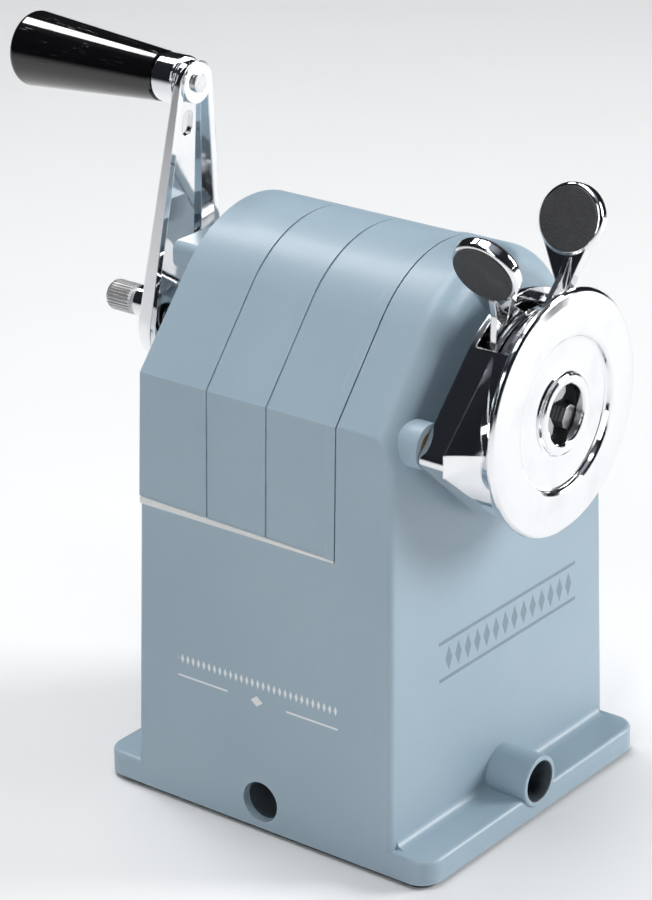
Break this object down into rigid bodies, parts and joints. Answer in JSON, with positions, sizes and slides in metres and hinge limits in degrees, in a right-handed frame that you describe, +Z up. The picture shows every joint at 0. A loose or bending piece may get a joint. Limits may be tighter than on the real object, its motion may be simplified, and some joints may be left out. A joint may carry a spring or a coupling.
{
  "type": "pencil sharpener",
  "caption": "Desk-top metal pencil sharpener with a rear hand crank, a spring-fed chrome nose that grips the pencil, and a ribbed lift-off shavings hood.",
  "frame": {"origin": "on the desk, under the middle of the tower", "axes": "+Z up, -Y the way the pencil opening faces, crank at +Y, side clamp socket at -X"},
  "size_m": [0.08, 0.1418, 0.155],
  "materials": {
    "blue_enamel": "satin light steel-blue stoved enamel",
    "zinc_sheet": "zinc-plated sheet",
    "zinc_screw": "zinc-plated",
    "pad_rubber": "matt black rubber",
    "white_plastic": "matt white",
    "bronze": "oiled sintered bronze",
    "bright_steel": "bright drawn steel",
    "tool_steel": "ground tool steel",
    "cast_zinc": "bare zinc die casting",
    "chrome": "bright chrome plating",
    "grey_plastic": "dark grey grained",
    "black_plastic": "gloss black"
  },
  "bodies": {
    "housing": {"tower_housing": "blue_enamel", "tower_foot": "blue_enamel", "front_clamp_socket_tube": "blue_enamel", "side_clamp_socket_tube": "blue_enamel", "base_plate": "zinc_sheet", "base_plate_screws": "zinc_screw", "rubber_base_pad": "pad_rubber", "hood_seat_strips": "white_plastic", "front_bearing_bush": "bronze", "rear_bearing_bush": "bronze", "guide_rod_bushes": "bronze", "internal_ring_gear": "bright_steel", "ring_gear_screws": "zinc_screw"},
    "hood": {"shavings_hood": "blue_enamel"},
    "carriage": {"nose_housing": "chrome", "nose_face_disc": "chrome", "nose_screws": "zinc_screw", "jaw_guide_plate": "bright_steel", "left_guide_rod": "bright_steel", "right_guide_rod": "bright_steel", "guide_rod_collars": "bright_steel", "lever_return_spring": "bright_steel", "left_feed_spring": "bright_steel", "right_feed_spring": "bright_steel"},
    "left_lever": {"left_grip_lever": "chrome", "left_lever_pads": "grey_plastic"},
    "right_lever": {"right_grip_lever": "chrome", "right_lever_pads": "grey_plastic"},
    "upper_jaw_body": {"upper_jaw": "tool_steel"},
    "left_jaw_body": {"left_jaw": "tool_steel"},
    "right_jaw_body": {"right_jaw": "tool_steel"},
    "crank": {"drive_spindle": "bright_steel", "cutter_carrier": "cast_zinc", "cutter_axle": "bright_steel", "crank_hub": "chrome", "crank_arm": "chrome", "spindle_sleeve_nut": "chrome", "handle_axle": "bright_steel", "handle_ferrule": "chrome", "grip_retaining_clip": "bright_steel"},
    "cutter": {"helical_cutter": "tool_steel", "cutter_pinion": "bright_steel"},
    "grip": {"handle_grip": "black_plastic", "grip_end_plug": "black_plastic"},
    "adjuster": {"point_adjuster_knob": "cast_zinc", "point_stop_rod": "bright_steel"}
  },
  "joints": [
    {"name": "hood_lift", "type": "slide", "parent": "housing", "child": "hood", "axis": [0, 0, 1], "range_m": [0, 0.06]},
    {"name": "nose_pull", "type": "slide", "parent": "housing", "child": "carriage", "axis": [0, -1, 0], "range_m": [0, 0.026], "stiffness_N_per_m": 120, "springref_m": -0.02, "deforming": ["left_feed_spring", "right_feed_spring"]},
    {"name": "left_lever_squeeze", "type": "hinge", "parent": "carriage", "child": "left_lever", "pos_m": [0, -0.0405, 0.094], "axis": [0, 1, 0], "range_deg": [0, 15], "stiffness_Nm_per_rad": 0.5, "springref_deg": -20.05, "deforming": ["lever_return_spring"]},
    {"name": "right_lever_squeeze", "type": "hinge", "parent": "carriage", "child": "right_lever", "pos_m": [0, -0.0422, 0.094], "axis": [0, 1, 0], "range_deg": [-15, 0]},
    {"name": "upper_jaw_slide", "type": "slide", "parent": "carriage", "child": "upper_jaw_body", "axis": [0, 0, 1], "range_m": [0, 0.0032]},
    {"name": "left_jaw_slide", "type": "slide", "parent": "carriage", "child": "left_jaw_body", "axis": [-0.866, 0, -0.5], "range_m": [0, 0.0032]},
    {"name": "right_jaw_slide", "type": "slide", "parent": "carriage", "child": "right_jaw_body", "axis": [0.866, 0, -0.5], "range_m": [0, 0.0032]},
    {"name": "crank_turn", "type": "hinge", "parent": "housing", "child": "crank", "pos_m": [0, 0.05, 0.094], "axis": [0, 1, 0], "continuous": true},
    {"name": "cutter_spin", "type": "hinge", "parent": "crank", "child": "cutter", "pos_m": [0, -0.014, 0.1056], "axis": [0, 0.9852, -0.1715], "continuous": true},
    {"name": "grip_spin", "type": "hinge", "parent": "crank", "child": "grip", "pos_m": [0, 0.07, 0.1467], "axis": [0, 1, 0], "continuous": true},
    {"name": "point_adjust", "type": "hinge", "parent": "crank", "child": "adjuster", "pos_m": [0, 0.069, 0.094], "axis": [0, 1, 0], "range_deg": [0, 270]}
  ],
  "couplings": [
    {"joint": "right_lever_squeeze", "follows": "left_lever_squeeze", "ratio": -1},
    {"joint": "upper_jaw_slide", "follows": "left_lever_squeeze", "m_per_rad": 0.012223},
    {"joint": "left_jaw_slide", "follows": "left_lever_squeeze", "m_per_rad": 0.012223},
    {"joint": "right_jaw_slide", "follows": "left_lever_squeeze", "m_per_rad": 0.012223},
    {"joint": "cutter_spin", "follows": "crank_turn", "ratio": -3}
  ]
}
